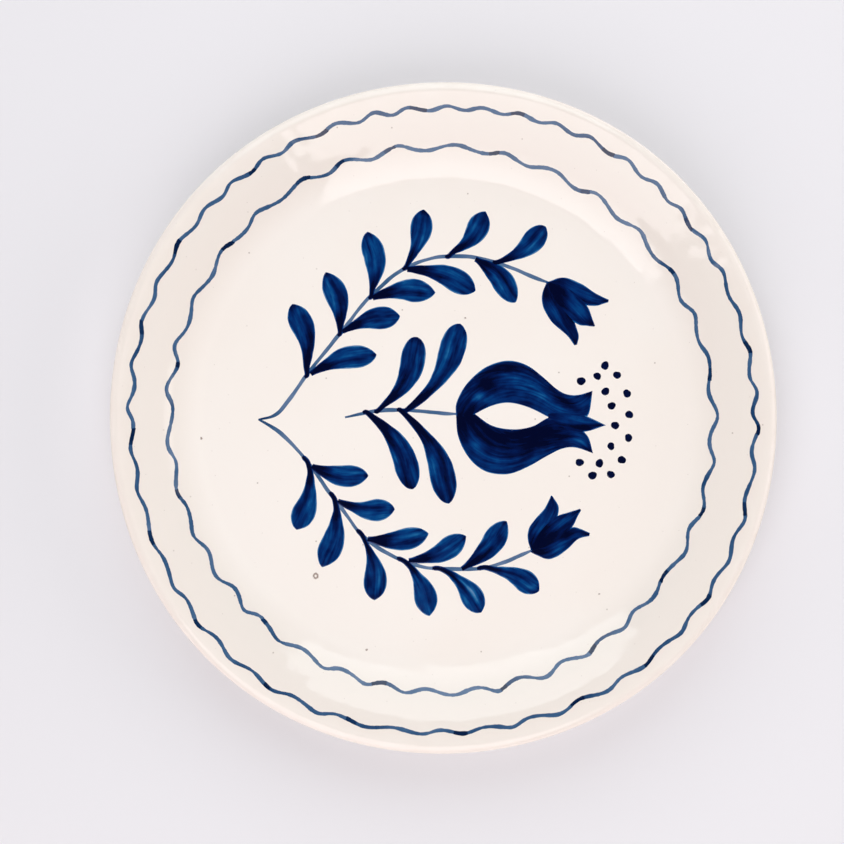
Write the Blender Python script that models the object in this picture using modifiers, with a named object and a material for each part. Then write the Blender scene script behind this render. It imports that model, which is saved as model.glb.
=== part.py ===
# A hand painted ceramic plate, built up as a potter builds it: a clay dish, a foot ring luted
# under it, three coats of glaze, and the cobalt brush strokes that lie on the face.
#
# Metres, +Z up. The origin is the centre of the foot ring's resting plane. The painted sprays
# grow along +X. Every piece keeps CLEARANCE to its neighbours.

import math

import bmesh
import bpy
from mathutils import Vector

MM = 0.001

# Dish
PLATE_DIAMETER = 265 * MM
PLATE_HEIGHT = 24 * MM
FLOOR_THICKNESS = 5.5 * MM
RIM_THICKNESS = 4.6 * MM
RIM_WIDTH = 8.0 * MM
RIM_SLOPE = math.radians(14)
SHOULDER_RADIUS = 46.0 * MM
WALL_SLOPE = math.radians(30)

# Foot
FOOT_HEIGHT = 6.0 * MM
FOOT_WIDTH = 6.5 * MM
FOOT_TAPER = 0.8 * MM
FOOT_EDGE = 0.9 * MM
FOOT_INSET = 13.0 * MM

# Coats
CLEARANCE = 0.3 * MM
GLAZE_THICKNESS = 0.5 * MM
STROKE_THICKNESS = 0.3 * MM

# Wavy lines
OUTER_LINE_INSET = 8.7 * MM
OUTER_LINE_WAVES = 46
OUTER_LINE_SWING = 1.3 * MM
INNER_LINE_OUTSET = 16.9 * MM
INNER_LINE_WAVES = 35
INNER_LINE_SWING = 1.7 * MM
LINE_WIDTH = 2.0 * MM
POINTS_PER_WAVE = 6

# Painted sprays. Their places are drawn for a field that reaches MOTIF_REACH from the centre,
# and the whole field grows with the floor that it fills.
MOTIF_REACH = 83.0 * MM
FLOOR_MARGIN = 7.9 * MM
STEM_WIDTH = 1.5 * MM
STEM_TIP_WIDTH = 0.9 * MM
LEAF_ROOT_WIDTH = 1.2 * MM
LEAF_BULGE = 0.66
LEAF_TIP_BLUNTNESS = 0.55
DOT_DIAMETER = 3.1 * MM

# A stem passes through hand-chosen points (x, y).
UPPER_STEM = ((-73.4, -0.6), (-64.8, 2.6), (-54.3, 16.9), (-41.4, 33.1), (-29.4, 47.5),
              (-15.5, 59.4), (1.9, 64.2), (20.9, 61.8), (41.5, 53.7))
LOWER_STEM = ((-73.4, -0.6), (-64.6, -6.0), (-53.3, -18.2), (-42.8, -32.6), (-31.3, -47.4),
              (-15.1, -57.0), (-0.6, -59.9), (17.1, -59.3), (35.2, -52.7))
CENTRE_STEM = ((-39.0, 0.4), (-29.4, 2.4), (-17.1, 3.1), (5.1, 1.5))

# A leaf is (distance along its stem, side, degrees it leans off the stem, length, width, bow).
# Side is +1 on the left of a stem that is followed from its root.
UPPER_LEAVES = (
    (27.5, 1, 46, 28.5, 8.0, 2.0), (48.2, 1, 48, 25.0, 7.8, 1.8), (67.0, 1, 42, 26.0, 7.8, 1.8),
    (85.2, 1, 46, 24.4, 7.6, 1.4), (103.3, 1, 47, 23.0, 7.6, 1.8), (122.5, 1, 51, 24.2, 7.6, 1.6),
    (27.5, -1, 32, 28.6, 8.0, 1.4), (48.2, -1, 32, 25.0, 7.8, 1.4), (67.0, -1, 38, 26.0, 7.8, 1.4),
    (85.2, -1, 38, 29.4, 8.2, 1.6), (112.9, -1, 34, 24.6, 7.8, 1.4),
)
LOWER_LEAVES = (
    (27.6, -1, 45, 26.2, 8.0, 1.4), (45.4, -1, 43, 26.7, 8.0, 1.4), (64.2, -1, 42, 24.8, 8.0, 1.4),
    (83.2, -1, 46, 23.2, 7.8, 1.4), (97.9, -1, 43, 23.0, 7.8, 1.4), (115.7, -1, 38, 22.5, 7.6, 1.0),
    (27.6, 1, 38, 23.6, 7.6, 1.2), (45.4, 1, 43, 23.4, 7.6, 1.2), (64.2, 1, 39, 25.1, 7.6, 1.4),
    (83.2, 1, 38, 25.6, 7.6, 1.4), (104.6, 1, 41, 26.6, 7.8, 1.4),
)
CENTRE_LEAVES = (
    (13.6, 1, 54, 33.0, 9.0, 3.2), (25.1, 1, 59, 40.3, 9.6, 3.4),
    (9.3, -1, 67, 35.4, 8.8, 3.4), (22.6, -1, 57, 41.6, 9.4, 3.6),
)

# A small tulip points along its own +X from its base. Its outline is half of a mirrored pair:
# (x, y, corner), where a corner is a tip or a notch and the rest is rounded.
TULIP_HALF = ((0.0, 0.0, False), (3.0, 5.6, False), (9.5, 8.0, False), (22.3, 10.8, True),
              (18.6, 4.2, True), (25.4, 0.0, True))
UPPER_TULIP_TURN = math.radians(-43)
LOWER_TULIP_TURN = math.radians(40)

# The large flower is drawn the same way, and so is its opening.
FLOWER_BASE = (5.1, 1.4)
FLOWER_TURN = math.radians(-4)
FLOWER_HALF = ((0.0, 0.0, False), (4.2, 13.6, False), (18.5, 22.6, False), (34.0, 17.5, False),
               (45.0, 10.6, False), (54.6, 12.4, True), (51.4, 3.1, True), (59.6, 0.0, True))
OPENING_HALF = ((7.6, 0.0, True), (21.5, 5.2, False), (37.6, 0.0, True))

# Seed dots stand round a point in the flower's crown: (degrees, distance) for each dot.
DOT_CENTRE = (50.0, -2.0)
INNER_DOTS = ((74, 17.3), (59, 21.7), (41, 19.1), (22, 18.2), (-3, 18.3), (-29, 19.0), (-53, 20.0),
              (-75, 16.2))
OUTER_DOTS = ((58, 26.9), (45, 26.9), (27, 25.8), (8, 24.1), (-14, 24.3), (-35, 25.5), (-51, 26.3),
              (-66, 22.8))

# How finely round shapes are divided
TURN_STEPS = 60
WALL_STEPS = 4
SHOULDER_STEPS = 4
LIP_STEPS = 4
STEM_STEPS = 3
LEAF_STEPS = 8
DOT_SIDES = 12

# What follows from the sizes above
COAT = CLEARANCE + GLAZE_THICKNESS
LIP_RADIUS = RIM_THICKNESS / 2
LIP_CENTRE = Vector((PLATE_DIAMETER / 2 - COAT - LIP_RADIUS, PLATE_HEIGHT - COAT - LIP_RADIUS))
FLOOR_TOP = FOOT_HEIGHT + FLOOR_THICKNESS
STROKE_BOTTOM = FLOOR_TOP + COAT + CLEARANCE


def arc(centre, radius, start, end, steps):
    """Points along an arc in the section plane, both ends included."""
    return [
        centre + radius * Vector((math.cos(a), math.sin(a)))
        for a in (start + (end - start) * i / steps for i in range(steps + 1))
    ]


def face_line():
    """The clay's upper face from the middle of the floor to the lip: floor, wall, shoulder, rim."""
    rim_normal = Vector((-math.sin(RIM_SLOPE), math.cos(RIM_SLOPE)))
    rim_end = LIP_CENTRE + LIP_RADIUS * rim_normal
    rim_start = rim_end - RIM_WIDTH * Vector((math.cos(RIM_SLOPE), math.sin(RIM_SLOPE)))
    upright = math.pi / 2
    shoulder = arc(rim_start - SHOULDER_RADIUS * rim_normal, SHOULDER_RADIUS,
                   upright + WALL_SLOPE, upright + RIM_SLOPE, SHOULDER_STEPS)
    wall_radius = (shoulder[0].y - FLOOR_TOP) / (1 - math.cos(WALL_SLOPE))
    floor_radius = shoulder[0].x - wall_radius * math.sin(WALL_SLOPE)
    wall = arc(Vector((floor_radius, FLOOR_TOP + wall_radius)), wall_radius,
               -upright, -upright + WALL_SLOPE, WALL_STEPS)
    return [Vector((0, FLOOR_TOP))] + wall + shoulder[1:] + [rim_end]


def normals(line):
    """For each point, the outward direction whose length keeps both neighbouring runs parallel."""
    runs = [(b - a).normalized() for a, b in zip(line, line[1:])]
    runs = [runs[0]] + runs + [runs[-1]]
    found = []
    for before, after in zip(runs, runs[1:]):
        first, second = Vector((-before.y, before.x)), Vector((-after.y, after.x))
        found.append((first + second) / (1 + first.dot(second)))
    return found


def raised(line, height):
    return [point + height * normal for point, normal in zip(line, normals(line))]


def back_line(face):
    """The clay's underside from the lip in to the floor's edge, a wall's thickness below the face."""
    outwards = normals(face)
    last = len(face) - 1
    return [
        face[i] - outwards[i] * (FLOOR_THICKNESS
                                 + (RIM_THICKNESS - FLOOR_THICKNESS) * (i - 1) / (last - 1))
        for i in range(last, 0, -1)
    ]


def lip_line():
    """The round lip, over from the face to the underside, without its ends."""
    upright = math.pi / 2 + RIM_SLOPE
    return arc(LIP_CENTRE, LIP_RADIUS, upright, upright - math.pi, LIP_STEPS)[1:-1]


FACE = face_line()
BACK = back_line(FACE)
LIP = lip_line()
FLOOR_RADIUS = FACE[1].x
FOOT_OUTER = FLOOR_RADIUS - FOOT_INSET
FOOT_INNER = FOOT_OUTER - FOOT_WIDTH
MOTIF_SCALE = (FLOOR_RADIUS - FLOOR_MARGIN) / MOTIF_REACH


def on_floor(x, y):
    """A place in the painted field, whose layout is written in millimetres."""
    return Vector((x, y)) * MM * MOTIF_SCALE


def add_material(name, colour, roughness):
    material = bpy.data.materials.new(name)
    material.use_nodes = True
    shader = material.node_tree.nodes["Principled BSDF"]
    shader.inputs["Base Color"].default_value = (*colour, 1)
    shader.inputs["Roughness"].default_value = roughness
    shader.inputs["Metallic"].default_value = 0
    material.diffuse_color = (*colour, 1)
    return material


def add_object(name, data, material, collection):
    data.materials.append(material)
    made = bpy.data.objects.new(name, data)
    collection.objects.link(made)
    return made


def turned(name, profile, material, collection, ring=False):
    """A profile of (radius, height) swept once round Z. A ring's profile closes on itself."""
    count = len(profile)
    edges = [(i, i + 1) for i in range(count - 1)]
    if ring:
        edges.append((count - 1, 0))
    mesh = bpy.data.meshes.new(name)
    mesh.from_pydata([(p.x, 0, p.y) for p in profile], edges, [])
    made = add_object(name, mesh, material, collection)
    sweep = made.modifiers.new("turn", "SCREW")
    sweep.axis = "Z"
    sweep.steps = sweep.render_steps = TURN_STEPS
    sweep.use_merge_vertices = True
    sweep.merge_threshold = 0.00001
    return made


def disc(name, radius, bottom, top, sides, place, material, collection):
    """A low cylinder standing on a height."""
    mesh = bpy.data.meshes.new(name)
    shape = bmesh.new()
    bmesh.ops.create_cone(shape, cap_ends=True, segments=sides, radius1=radius, radius2=radius,
                          depth=top - bottom)
    shape.to_mesh(mesh)
    shape.free()
    mesh.shade_smooth()
    mesh.set_sharp_from_angle(angle=math.radians(40))
    made = add_object(name, mesh, material, collection)
    made.location = (place.x, place.y, (bottom + top) / 2)
    return made


def stroke(name, outlines, material, collection, place=Vector((0, 0)), turn=0.0):
    """A flat deposit on the floor. Each outline is a list of points (x, y, corner)."""
    curve = bpy.data.curves.new(name, "CURVE")
    curve.dimensions = "2D"
    curve.fill_mode = "BOTH"
    curve.extrude = STROKE_THICKNESS / 2
    curve.resolution_u = 3
    for outline in outlines:
        spline = curve.splines.new("BEZIER")
        spline.bezier_points.add(len(outline) - 1)
        for knot, (x, y, corner) in zip(spline.bezier_points, outline):
            knot.co = (x, y, 0)
            knot.handle_left_type = knot.handle_right_type = "VECTOR" if corner else "AUTO"
        spline.use_cyclic_u = True
    made = add_object(name, curve, material, collection)
    made.location = (place.x, place.y, STROKE_BOTTOM + STROKE_THICKNESS / 2)
    made.rotation_euler.z = turn
    return made


def smooth_path(points):
    """A curve through the points: a Catmull-Rom spline, as a list of close points."""
    ends = [2 * points[0] - points[1]] + points + [2 * points[-1] - points[-2]]
    path = []
    for a, b, c, d in zip(ends, ends[1:], ends[2:], ends[3:]):
        for i in range(STEM_STEPS):
            t = i / STEM_STEPS
            path.append(0.5 * (2 * b + (c - a) * t + (2 * a - 5 * b + 4 * c - d) * t * t
                               + (3 * b - a - 3 * c + d) * t ** 3))
    return path + [points[-1]]


def along(path, distance):
    """The point this far along a path, and the path's direction there."""
    for a, b in zip(path, path[1:]):
        run = (b - a).length
        if distance <= run:
            break
        distance -= run
    direction = (b - a).normalized()
    return a + direction * min(distance, run), direction


def length_of(path):
    return sum((b - a).length for a, b in zip(path, path[1:]))


def trimmed(path, start, end):
    """The path without its first and last stretches."""
    total = length_of(path)
    kept, travelled = [along(path, start)[0]], 0.0
    for a, b in zip(path, path[1:]):
        travelled += (b - a).length
        if start + STEM_WIDTH < travelled < total - end - STEM_WIDTH:
            kept.append(b)
    return kept + [along(path, total - end)[0]]


def stem(name, path, material, collection):
    """A brushed stem: an outline that follows the path and narrows to both ends."""
    total = length_of(path)
    left, right, travelled = [], [], 0.0
    for i, point in enumerate(path):
        before, after = path[max(i - 1, 0)], path[min(i + 1, len(path) - 1)]
        direction = (after - before).normalized()
        fullness = math.sin(math.pi * travelled / total)
        half = (STEM_TIP_WIDTH + (STEM_WIDTH - STEM_TIP_WIDTH) * fullness) / 2
        side = Vector((-direction.y, direction.x)) * half
        left.append((*(point + side), True))
        right.append((*(point - side), True))
        if i < len(path) - 1:
            travelled += (after - point).length
    return stroke(name, [left + right[::-1]], material, collection)


def leaf_outline(length, width, bow, side):
    """A leaf along +X, bowed towards its stem: narrow root, belly at LEAF_BULGE, blunt tip."""
    rise = LEAF_TIP_BLUNTNESS * LEAF_BULGE / (1 - LEAF_BULGE)
    peak = LEAF_BULGE ** rise * (1 - LEAF_BULGE) ** LEAF_TIP_BLUNTNESS
    upper, lower = [], []
    for i in range(LEAF_STEPS + 1):
        t = (1 - math.cos(math.pi * i / LEAF_STEPS)) / 2
        belly = t ** rise * (1 - t) ** LEAF_TIP_BLUNTNESS / peak
        half = (LEAF_ROOT_WIDTH * (1 - t) + (width - LEAF_ROOT_WIDTH * (1 - t)) * belly) / 2
        middle = -side * bow * math.sin(math.pi * t)
        upper.append((length * t, middle + half, True))
        lower.append((length * t, middle - half, True))
    return upper[:-1] + [(length, 0.0, True)] + lower[-2::-1]


def leaves(spray, path, table, material, collection):
    """One leaf for each row, its root a clearance away from the stem's edge."""
    for number, (distance, side, lean, length, width, bow) in enumerate(table, 1):
        scale = MM * MOTIF_SCALE
        joint, direction = along(path, distance * scale)
        lean = math.radians(lean)
        edge = STEM_WIDTH / 2 + CLEARANCE + LEAF_ROOT_WIDTH / 2 * math.cos(lean)
        start = edge / math.sin(lean)
        turn = math.atan2(direction.y, direction.x) + side * lean
        root = joint + start * Vector((math.cos(turn), math.sin(turn)))
        outline = leaf_outline(length * scale - start, width * scale, bow * scale, side)
        stroke(f"{spray}_leaf_{number:02d}", [outline], material, collection, root, turn)


def mirrored(half):
    """A closed outline from the half that lies on +Y, in the painted field's own scale."""
    scale = MM * MOTIF_SCALE
    upper = [(x * scale, y * scale, corner) for x, y, corner in half]
    lower = [(x, -y, corner) for x, y, corner in upper if y > 0]
    return upper + lower[::-1]


def wave_line(name, radius, swing, waves, target, material, collection):
    """A wavy band: two wavy loops bridged, laid down on the glaze, and given its thickness."""
    count = waves * POINTS_PER_WAVE
    band = bmesh.new()
    for offset in (LINE_WIDTH / 2, -LINE_WIDTH / 2):
        loop = []
        for i in range(count):
            turn = math.tau * i / count
            reach = radius + offset + swing * math.sin(waves * turn)
            loop.append(band.verts.new((reach * math.cos(turn), reach * math.sin(turn),
                                        PLATE_HEIGHT + COAT)))
        for a, b in zip(loop, loop[1:] + loop[:1]):
            band.edges.new((a, b))
    bmesh.ops.bridge_loops(band, edges=band.edges[:])
    bmesh.ops.recalc_face_normals(band, faces=band.faces[:])
    if sum(face.normal.z for face in band.faces) < 0:
        bmesh.ops.reverse_faces(band, faces=band.faces[:])
    mesh = bpy.data.meshes.new(name)
    band.to_mesh(mesh)
    band.free()
    made = add_object(name, mesh, material, collection)
    lay = made.modifiers.new("lay on glaze", "SHRINKWRAP")
    lay.wrap_method = "PROJECT"
    lay.target = target
    lay.use_project_z = True
    lay.use_positive_direction = False
    lay.use_negative_direction = True
    lay.offset = CLEARANCE
    body = made.modifiers.new("deposit", "SOLIDIFY")
    body.thickness = STROKE_THICKNESS
    body.offset = 1
    return made


def build_dish(materials, parts):
    clay, glaze = materials["bare clay"], materials["cream glaze"]
    centre = Vector((0, FOOT_HEIGHT))
    turned("clay_body", FACE + LIP + BACK + [centre], clay, parts)

    coated = FACE + LIP
    coat_in, coat_out = raised(coated, CLEARANCE), raised(coated, COAT)
    face_glaze = turned("face_glaze", coat_out + coat_in[::-1], glaze, parts)

    under = BACK + [Vector((FOOT_OUTER + CLEARANCE, FOOT_HEIGHT))]
    under_in, under_out = raised(under, CLEARANCE), raised(under, COAT)
    turned("back_glaze", under_out + under_in[::-1], glaze, parts, ring=True)

    well_top = FOOT_HEIGHT - CLEARANCE
    disc("foot_well_glaze", FOOT_INNER - CLEARANCE, well_top - GLAZE_THICKNESS, well_top,
         TURN_STEPS, Vector((0, 0)), glaze, parts)

    top = FOOT_HEIGHT - CLEARANCE
    outer, inner = FOOT_OUTER - CLEARANCE, FOOT_INNER
    foot = [(inner, top), (outer, top), (outer - FOOT_TAPER, FOOT_EDGE),
            (outer - FOOT_TAPER - FOOT_EDGE, 0), (inner + FOOT_TAPER + FOOT_EDGE, 0),
            (inner + FOOT_TAPER, FOOT_EDGE)]
    turned("foot_ring", [Vector(p) for p in foot], clay, parts, ring=True)
    return face_glaze


def build_lines(materials, parts, face_glaze):
    thin = materials["thin cobalt"]
    wave_line("outer_wave_line", PLATE_DIAMETER / 2 - OUTER_LINE_INSET, OUTER_LINE_SWING,
              OUTER_LINE_WAVES, face_glaze, thin, parts)
    wave_line("inner_wave_line", FLOOR_RADIUS + INNER_LINE_OUTSET, INNER_LINE_SWING,
              INNER_LINE_WAVES, face_glaze, thin, parts)


def build_sprays(materials, parts):
    full, thin = materials["full cobalt"], materials["thin cobalt"]
    sprays = (("upper_spray", UPPER_STEM, UPPER_LEAVES, 0.0),
              ("lower_spray", LOWER_STEM, LOWER_LEAVES, STEM_WIDTH + CLEARANCE),
              ("centre_sprig", CENTRE_STEM, CENTRE_LEAVES, 0.0))
    for name, points, table, held_back in sprays:
        path = smooth_path([on_floor(x, y) for x, y in points])
        stem(f"{name}_stem", trimmed(path, held_back, CLEARANCE), thin, parts)
        leaves(name, path, table, full, parts)


def build_flowers(materials, parts):
    full = materials["full cobalt"]
    for name, points, turn in (("upper_tulip", UPPER_STEM, UPPER_TULIP_TURN),
                               ("lower_tulip", LOWER_STEM, LOWER_TULIP_TURN)):
        stroke(name, [mirrored(TULIP_HALF)], full, parts, on_floor(*points[-1]), turn)
    stroke("large_flower", [mirrored(FLOWER_HALF), mirrored(OPENING_HALF)], full, parts,
           on_floor(*FLOWER_BASE), FLOWER_TURN)


def build_dots(materials, parts):
    number = 0
    for arc_of_dots in (INNER_DOTS, OUTER_DOTS):
        for degrees, distance in arc_of_dots:
            number += 1
            turn = math.radians(degrees)
            place = on_floor(DOT_CENTRE[0] + distance * math.cos(turn),
                             DOT_CENTRE[1] + distance * math.sin(turn))
            disc(f"seed_dot_{number:02d}", DOT_DIAMETER / 2, STROKE_BOTTOM,
                 STROKE_BOTTOM + STROKE_THICKNESS, DOT_SIDES, place, materials["full cobalt"], parts)


def main():
    for item in list(bpy.data.objects):
        bpy.data.objects.remove(item, do_unlink=True)
    parts = bpy.data.collections.new("hand_painted_plate")
    bpy.context.scene.collection.children.link(parts)
    materials = {
        "bare clay": add_material("bare clay", (0.60, 0.47, 0.37), 0.85),
        "cream glaze": add_material("cream glaze", (0.86, 0.81, 0.76), 0.12),
        "full cobalt": add_material("full cobalt", (0.006, 0.022, 0.110), 0.15),
        "thin cobalt": add_material("thin cobalt", (0.045, 0.110, 0.290), 0.15),
    }
    face_glaze = build_dish(materials, parts)
    build_lines(materials, parts, face_glaze)
    build_sprays(materials, parts)
    build_flowers(materials, parts)
    build_dots(materials, parts)


main()
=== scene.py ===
# The hand painted plate's looks: smooth glazed clay round the frame's dish, cobalt brush
# strokes that lie on its face, a pale floor, four soft panels and the camera.
# Lengths are in millimetres and angles in degrees until a mesh is written.

import bpy
import numpy as np
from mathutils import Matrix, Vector


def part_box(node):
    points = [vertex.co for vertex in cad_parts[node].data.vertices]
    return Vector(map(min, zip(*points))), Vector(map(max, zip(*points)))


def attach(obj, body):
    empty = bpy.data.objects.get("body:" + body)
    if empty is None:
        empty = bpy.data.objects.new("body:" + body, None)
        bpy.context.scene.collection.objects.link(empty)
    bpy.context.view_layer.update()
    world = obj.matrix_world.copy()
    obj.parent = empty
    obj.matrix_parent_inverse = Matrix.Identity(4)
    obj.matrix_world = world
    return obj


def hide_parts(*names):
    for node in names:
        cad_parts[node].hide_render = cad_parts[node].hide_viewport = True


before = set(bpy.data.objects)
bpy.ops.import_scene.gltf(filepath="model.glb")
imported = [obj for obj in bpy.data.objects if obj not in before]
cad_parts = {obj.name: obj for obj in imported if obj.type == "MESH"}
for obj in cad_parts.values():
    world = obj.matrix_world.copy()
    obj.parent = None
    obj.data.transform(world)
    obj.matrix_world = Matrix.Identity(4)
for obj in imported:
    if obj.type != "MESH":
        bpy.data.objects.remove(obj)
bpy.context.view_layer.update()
mm = 0.001
print("frame loaded:", len(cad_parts), "nodes")


# numbers and curves

def boxOf(node):
    # a node's lowest and highest corners, in millimetres
    return np.array(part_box(node)) / mm


def eased(start, end, value):
    # 0 before start, 1 after end, and between them 3t^2 - 2t^3
    t = np.clip((value - start) / (end - start), 0, 1)
    return t * t * (3 - 2 * t)


def bump(value, middle, reach):
    # a bell: 1 at the middle, falling to 0.37 at one reach from it
    return np.exp(-((value - middle) / reach) ** 2)


def harmonics(turn, terms):
    # sum of size * cos(count * turn + lead) over the terms (count, size, lead in degrees)
    count, size, lead = np.array(terms, float).T
    return np.cos(np.multiply.outer(turn, count) + np.radians(lead)) @ size


def wander(seed, value, reach):
    # a slow wobble between about -1 and 1: five sines of random lead, the longest a reach long
    chance = np.random.default_rng(seed)
    lead = chance.uniform(0, 2 * np.pi, 5)
    count = np.array([1.0, 1.62, 2.57, 4.1, 6.7])
    waves = np.sin(2 * np.pi * np.multiply.outer(value / reach, count) + lead)
    return waves @ np.array([0.5, 0.35, 0.25, 0.15, 0.1])


def curveThrough(points, steps):
    # a Catmull-Rom cubic through the points, then evened out to equal runs
    points = np.array(points, float)
    ends = np.vstack([2 * points[0] - points[1], points, 2 * points[-1] - points[-2]])
    t = np.linspace(0, 1, 24, endpoint=False)[None, :, None]
    a, b, c, d = (ends[i:len(ends) - 3 + i, None] for i in range(4))
    runs = 0.5 * (2 * b + (c - a) * t + (2 * a - 5 * b + 4 * c - d) * t ** 2
                  + (3 * b - a - 3 * c + d) * t ** 3)
    path = np.vstack([runs.reshape(-1, 2), points[-1]])
    travelled = lengthAlong(path)
    even = np.linspace(0, travelled[-1], steps)
    return np.column_stack([np.interp(even, travelled, path[:, i]) for i in (0, 1)])


def lengthAlong(path):
    return np.append(0, np.cumsum(np.linalg.norm(np.diff(path, axis=0), axis=1)))


def leftOf(path):
    # the unit direction to the left of a path at each of its points
    way = np.gradient(path, axis=0)
    way /= np.linalg.norm(way, axis=1)[:, None]
    return np.column_stack([-way[:, 1], way[:, 0]])


# meshes

def gridFaces(rows, columns, closeRows=False):
    # one quad between each four neighbours of a rows x columns grid of points; the columns
    # run round and close on themselves, and the rows do where asked
    i, j = np.meshgrid(np.arange(rows if closeRows else rows - 1), np.arange(columns),
                       indexing="ij")
    below, beside = (i + 1) % rows, (j + 1) % columns
    return np.stack([i * columns + j, below * columns + j,
                     below * columns + beside, i * columns + beside], -1).reshape(-1, 4)


def fan(pole, first, columns, flip):
    # triangles from a pole to a closed row of points
    j = np.arange(columns)
    row = np.stack([np.full(columns, pole), first + j, first + (j + 1) % columns], -1)
    return row[:, ::-1] if flip else row


def outwards(points, faces):
    # faces as given, or turned round if the volume they hold comes out negative
    volume = sum(np.einsum("ij,ij->", points[f[:, 0]],
                           np.cross(points[f[:, k]], points[f[:, k + 1]]))
                 for f in faces for k in range(1, f.shape[1] - 1))
    return [f[:, ::-1] for f in faces] if volume < 0 else faces


sharpFrom = 50.0                       # edges that turn more than this stay sharp


def linked(name, data):
    item = bpy.data.objects.new(name, data)
    bpy.context.scene.collection.objects.link(item)
    return item


def makePiece(name, shells, material, node, fields=()):
    # shells are (points, faces, {field: value for each point}); "brush" is a flat map in mm
    points = np.vstack([s[0] for s in shells])
    offsets = np.append(0, np.cumsum([len(s[0]) for s in shells]))[:-1]
    faces = [f + o for s, o in zip(shells, offsets) for f in outwards(s[0], s[1])]
    corners = np.concatenate([f.ravel() for f in faces])
    sides = np.concatenate([np.full(len(f), f.shape[1]) for f in faces])
    mesh = bpy.data.meshes.new(name)
    mesh.vertices.add(len(points))
    mesh.vertices.foreach_set("co", (points * mm).astype(np.float32).ravel())
    mesh.loops.add(len(corners))
    mesh.loops.foreach_set("vertex_index", corners.astype(np.int32))
    mesh.polygons.add(len(sides))
    mesh.polygons.foreach_set("loop_start", np.append(0, np.cumsum(sides)[:-1]).astype(np.int32))
    mesh.update(calc_edges=True)
    mesh.polygons.foreach_set("use_smooth", np.full(len(sides), True))
    for field in fields:
        values = np.concatenate([s[2][field] for s in shells])
        if field == "brush":
            layer = mesh.uv_layers.new(name="brush")
            layer.data.foreach_set("uv", values[corners].astype(np.float32).ravel())
        else:
            layer = mesh.attributes.new(field, "FLOAT", "POINT")
            layer.data.foreach_set("value", values.astype(np.float32))
    mesh.materials.append(material)
    mesh.validate()
    mesh.set_sharp_from_angle(angle=np.radians(sharpFrom))
    piece = linked(name, mesh)
    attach(piece, "root")
    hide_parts(node)


# material nodes

def addNode(tree, kind, inputs=(), **settings):
    node = tree.nodes.new("ShaderNode" + kind)
    for key, value in settings.items():
        setattr(node, key, value)
    for key, value in dict(inputs).items():
        if isinstance(value, bpy.types.NodeSocket):
            tree.links.new(value, node.inputs[key])
        else:
            node.inputs[key].default_value = value
    return node


def maths(tree, operation, *values, clamp=False):
    node = addNode(tree, "Math", dict(enumerate(values)), operation=operation, use_clamp=clamp)
    return node.outputs[0]


def noise(tree, place, scale, detail=2.0, roughness=0.5):
    node = addNode(tree, "TexNoise", {"Vector": place, "Scale": scale, "Detail": detail,
                                      "Roughness": roughness})
    return node.outputs["Fac"]


def stretched(tree, place, scale, move=(0, 0, 0)):
    return addNode(tree, "Mapping", {"Vector": place, "Scale": scale,
                                     "Location": move}).outputs["Vector"]


def between(tree, value, low, high, lowResult=0.0, highResult=1.0):
    # the value eased from one range into another, and held at its ends
    node = addNode(tree, "MapRange", {"Value": value, "From Min": low, "From Max": high,
                                      "To Min": lowResult, "To Max": highResult},
                   interpolation_type="SMOOTHSTEP", clamp=True)
    return node.outputs["Result"]


def mixed(tree, share, first, second):
    node = addNode(tree, "Mix", data_type="RGBA")
    for socket, value in ((node.inputs[0], share), (node.inputs[6], first),
                          (node.inputs[7], second)):
        if isinstance(value, bpy.types.NodeSocket):
            tree.links.new(value, socket)
        else:
            socket.default_value = value if isinstance(value, float) else (*value, 1)
    return node.outputs[2]


def ramp(tree, value, stops):
    node = addNode(tree, "ValToRGB", {"Fac": value})
    elements = node.color_ramp.elements
    while len(elements) < len(stops):
        elements.new(0.5)
    for element, (position, colour) in zip(elements, stops):
        element.position = position
        element.color = (*colour, 1)
    return node.outputs["Color"]


def newMaterial(name):
    material = bpy.data.materials.new(name)
    material.use_nodes = True
    tree = material.node_tree
    return material, tree, tree.nodes["Principled BSDF"]


def inMillimetres(tree):
    # the piece's own place in millimetres
    place = addNode(tree, "TexCoord").outputs["Object"]
    return stretched(tree, place, (1000, 1000, 1000))


def fieldOf(tree, name):
    return addNode(tree, "Attribute", attribute_name=name).outputs["Fac"]


def distanceFromAxis(tree, place):
    return addNode(tree, "VectorMath", {0: stretched(tree, place, (1, 1, 0))},
                   operation="LENGTH").outputs["Value"]


skin = {
    "swellFrom": (82.0, 104.0),        # millimetres from the axis: flat floor, then wall
    "swell": (0.12, 0.55),             # height of the slow waves on the floor and the wall
    "peel": 0.004,                     # height of the orange peel
    "roughness": (0.05, 0.1),
    "ior": 1.46,
}


def glazeSkin(tree, shader, place):
    # what every fired surface shares: slow waves, a fine orange peel and an uneven gloss
    swell = between(tree, distanceFromAxis(tree, place), *skin["swellFrom"], *skin["swell"])
    waves = maths(tree, "MULTIPLY", noise(tree, place, 0.05, 2), swell)
    peel = maths(tree, "MULTIPLY", noise(tree, place, 0.9, 2), skin["peel"])
    relief = addNode(tree, "Bump", {"Height": maths(tree, "ADD", waves, peel),
                                    "Distance": mm, "Strength": 1.0})
    gloss = between(tree, noise(tree, place, 0.12, 3), 0.3, 0.7, *skin["roughness"])
    tree.links.new(gloss, shader.inputs["Roughness"])
    tree.links.new(relief.outputs["Normal"], shader.inputs["Normal"])
    shader.inputs["IOR"].default_value = skin["ior"]


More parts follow.
